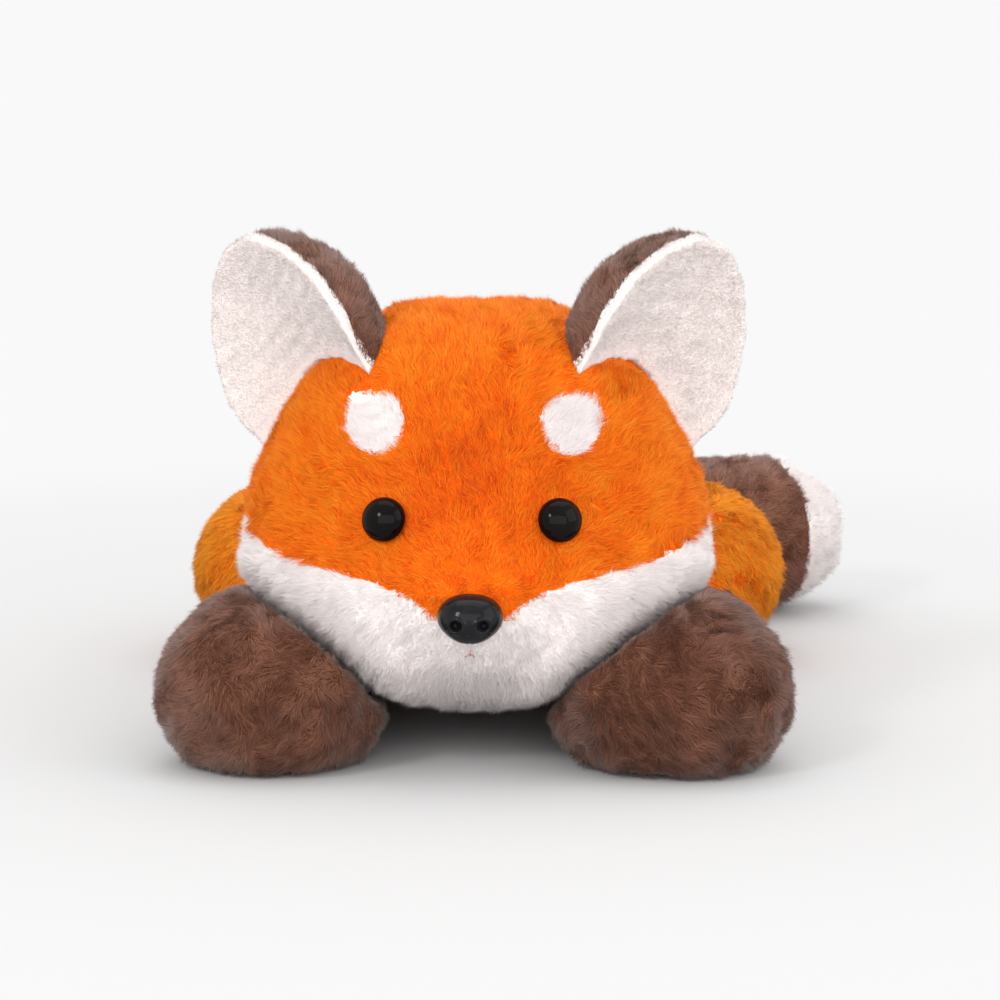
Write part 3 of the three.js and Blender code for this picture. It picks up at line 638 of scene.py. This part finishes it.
def grow_body(body):
    """Dresses one stuffed form in its cloths and their pile."""
    nodes = [node for node in FORMS[body][0] if node in SKINS]
    arrays, skins = surface(body, nodes)
    boldness = 1.0
    density = max(SKINS[node][2] for node in nodes) * boldness
    roots, normals = scatter(arrays, density)
    names, keep, trim = chosen_roots(body, nodes, roots, normals)
    for node in nodes:
        mine = keep & (names == node) & (rng.random(len(roots)) < SKINS[node][2] * boldness / density)
        if mine.any():
            grow_skin(body, node, roots[mine], normals[mine], trim[mine], boldness)
    inner = [node for node in FORMS[body][0] if node not in SKINS]
    for node, made in skins.items():
        carried(made, body)
        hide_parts(*([node] + (inner if node == nodes[0] else [])))


for body in FORMS:
    grow_body(body)


# ---------------------------------------------------------------- eyes, nose and mouth
def lathe(name, profile, place, facing, sides=64):
    """Profile rows are (radius, height) in mm, turned about the facing direction."""
    facing = Vector(facing).normalized()
    turn = Vector((0, 0, 1)).rotation_difference(facing)
    points = []
    for radius, height in profile:
        for step in range(sides):
            angle = 2 * math.pi * step / sides
            local = Vector((radius * math.cos(angle), radius * math.sin(angle), height)) * MM
            points.append(turn @ local + Vector(place))
    faces = tube_faces(len(profile) - 1, sides)
    faces.append(list(range(sides))[::-1])
    top = (len(profile) - 1) * sides
    faces.append(list(range(top, top + sides)))
    return mesh_object(name, points, faces)


def tube_faces(rows, sides):
    faces = []
    for row in range(rows):
        for step in range(sides):
            a, b = row * sides + step, row * sides + (step + 1) % sides
            faces.append((a, b, b + sides, a + sides))
    return faces


def on_head(made, material, node):
    made.data.materials.append(material)
    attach(made, "head")
    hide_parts(node)


for side, (place, facing) in eyes.items():
    dome = [(2.2, -14), (2.2, 0.6), (6.3, 0.8), (6.8, 1.0), (7.0, 1.4)]
    dome += [(7.0 * math.cos(a), 1.5 + 5.5 * math.sin(a)) for a in np.linspace(0.02, 1.54, 22)]
    button = lathe(f"eye_button_{side}", dome, place, facing)
    on_head(button, eye_black, f"eye_{side}")
for washer_name in ("eye_washer_left", "eye_washer_right", "nose_washer"):
    frame["nodes"][washer_name].data.materials.clear()
    frame["nodes"][washer_name].data.materials.append(washer_white)

low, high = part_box("nose")
nose_middle = Vector(((low.x + high.x) / 2, low.y + 0.009, (low.z + high.z) / 2))

# The nose's sizes are in mm
NOSE_HALF_WIDTH, NOSE_HALF_HEIGHT, NOSE_DEPTH = 10.0, 7.75, 9.0
NOSE_SQUARENESS = 2.3
NOSTRIL_OUT, NOSTRIL_DROP, NOSTRIL_RADIUS, NOSTRIL_DEPTH = 4.1, 0.9, 1.5, 2.6
NOSTRIL_RING_RADIUS, NOSTRIL_RING_WIDTH, NOSTRIL_RING_HEIGHT = 2.4, 0.6, 0.5
GROOVE_FROM, GROOVE_WIDTH, GROOVE_DEPTH = -0.35, 0.35, 0.7


def nose_depth(x, z, v, share):
    """How far the nose stands forward at x, z; v and share are its height and its distance out, as shares."""
    depth = NOSE_DEPTH * max(1 - share ** NOSE_SQUARENESS, 0) ** 0.5
    for hole in (-1, 1):
        away_from = math.hypot(x - hole * NOSTRIL_OUT, (z + NOSTRIL_DROP) / 0.95)
        depth -= NOSTRIL_DEPTH * math.exp(-(away_from / NOSTRIL_RADIUS) ** 4)
        ring = math.exp(-((away_from - NOSTRIL_RING_RADIUS) / NOSTRIL_RING_WIDTH) ** 2)
        depth += NOSTRIL_RING_HEIGHT * ring * min(1, depth / 3)
    if v < GROOVE_FROM:
        depth -= GROOVE_DEPTH * math.exp(-(x / GROOVE_WIDTH) ** 2) * min(1, (GROOVE_FROM - v) * 4)
    return depth


def make_nose(rows=26, sides=72):
    points = []
    for row in range(rows + 1):
        share = math.sin(row / rows * math.pi / 2)
        for step in range(sides):
            angle = 2 * math.pi * step / sides
            u, v = math.cos(angle), math.sin(angle)
            edge = (abs(u) ** NOSE_SQUARENESS + abs(v) ** NOSE_SQUARENESS) ** (-1 / NOSE_SQUARENESS)
            u, v = u * edge * share, v * edge * share
            narrow = 1 - 0.30 * max(-v - 0.1, 0) ** 1.3
            x, z = u * NOSE_HALF_WIDTH * narrow, v * NOSE_HALF_HEIGHT
            points.append(nose_middle + Vector((x, -nose_depth(x, z, v, share), z)) * MM)
    faces = tube_faces(rows, sides)
    faces.append(list(range(rows * sides, rows * sides + sides)))
    return mesh_object("nose_button", points, faces)


on_head(make_nose(), nose_black, "nose")

stitch_low, stitch_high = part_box("mouth_stitch")
stitch_middle = (stitch_low + stitch_high) / 2
curve = bpy.data.curves.new("mouth_thread", "CURVE")
curve.dimensions = "3D"
curve.bevel_depth = 0.25 * MM
curve.bevel_resolution = 3
for places in (
    [(-1.5, -0.5, -0.7), (-0.8, -1.1, 0.0), (0.0, -1.2, 0.5), (0.8, -1.1, -0.1), (1.5, -0.5, -0.8)],
    [(0.1, -0.6, 1.5), (0.0, -1.1, 0.9), (-0.1, -1.2, 0.3), (0.0, -0.6, -0.3)],
):
    spline = curve.splines.new("NURBS")
    spline.points.add(len(places) - 1)
    for point, (x, y, z) in zip(spline.points, places):
        point.co = (*(stitch_middle + Vector((x, y, z)) * MM), 1)
    spline.use_endpoint_u = True
    spline.order_u = 3
mouth = bpy.data.objects.new("mouth_thread", curve)
scene.collection.objects.link(mouth)
on_head(mouth, thread, "mouth_stitch")


# ---------------------------------------------------------------- floor, light and background
PAPER = (0.947, 0.947, 0.947, 1)


def plane(name, size, height):
    half = size / 2
    corners = [(-half, -half), (half, -half), (half, half), (-half, half)]
    return mesh_object(name, [(x, y, height) for x, y in corners], [(0, 1, 2, 3)], smooth=False)


def seen_rays(tree):
    """1 for camera, glossy and transmission rays, so gloss shows the same background as the picture."""
    rays = shader_node(tree, "LightPath")
    total = rays.outputs["Is Camera Ray"]
    for kind in ("Is Glossy Ray", "Is Transmission Ray"):
        add = shader_node(tree, "Math")
        add.operation = "MAXIMUM"
        tree.links.new(total, add.inputs[0])
        tree.links.new(rays.outputs[kind], add.inputs[1])
        total = add.outputs[0]
    return total


def mixed(tree, factor, first, second, output):
    blend = shader_node(tree, "MixShader")
    tree.links.new(factor, blend.inputs[0])
    tree.links.new(first.outputs[0], blend.inputs[1])
    tree.links.new(second.outputs[0], blend.inputs[2])
    tree.links.new(blend.outputs[0], output.inputs["Surface"])


# The paper under the object keeps its shadow, and further out it fades into the background.
floor = plane("floor", 40, 0)
floor_look = bpy.data.materials.new("floor_paper")
floor_look.use_nodes = True
tree = floor_look.node_tree
tree.nodes.clear()
out = shader_node(tree, "OutputMaterial")
matte = shader_node(tree, "BsdfDiffuse", Color=(0.55, 0.55, 0.55, 1))
glow = shader_node(tree, "Emission", Color=PAPER)
where = shader_node(tree, "TexCoord")
reach = shader_node(tree, "VectorMath")
reach.operation = "LENGTH"
fade = shader_node(tree, "MapRange", From_Min=0.28, From_Max=0.62)
fade.interpolation_type = "SMOOTHSTEP"
level = shader_node(tree, "Math")
level.operation = "MULTIPLY"
tree.links.new(where.outputs["Object"], reach.inputs[0])
tree.links.new(reach.outputs["Value"], fade.inputs["Value"])
tree.links.new(fade.outputs["Result"], level.inputs[0])
tree.links.new(seen_rays(tree), level.inputs[1])
mixed(tree, level.outputs[0], matte, glow, out)
floor.data.materials.append(floor_look)

world = bpy.data.worlds.new("studio")
scene.world = world
world.use_nodes = True
tree = world.node_tree
tree.nodes.clear()
out = shader_node(tree, "OutputWorld")
room = shader_node(tree, "Background", Color=(1, 1, 1, 1), Strength=1.15)
seen = shader_node(tree, "Background", Color=PAPER, Strength=1)
mixed(tree, seen_rays(tree), room, seen, out)


def lamp(name, place, size, power, aim=(0, -0.1, 0.06)):
    light = bpy.data.lights.new(name, "AREA")
    light.shape = "RECTANGLE"
    light.size, light.size_y = size
    light.energy = power
    made = bpy.data.objects.new(name, light)
    scene.collection.objects.link(made)
    made.location = place
    made.rotation_euler = (Vector(aim) - Vector(place)).to_track_quat("-Z", "Y").to_euler()


lamp("key_light", (-1.05, -1.5, 1.2), (0.4, 0.4), 9.5)
lamp("top_light", (0.1, 0.35, 1.6), (1.6, 1.6), 9)
lamp("side_light", (1.6, -0.7, 0.9), (1.4, 1.4), 8.5)
lamp("front_light", (0.1, -3.2, 1.02), (5.0, 2.0), 50)

scene.view_settings.view_transform = "Standard"
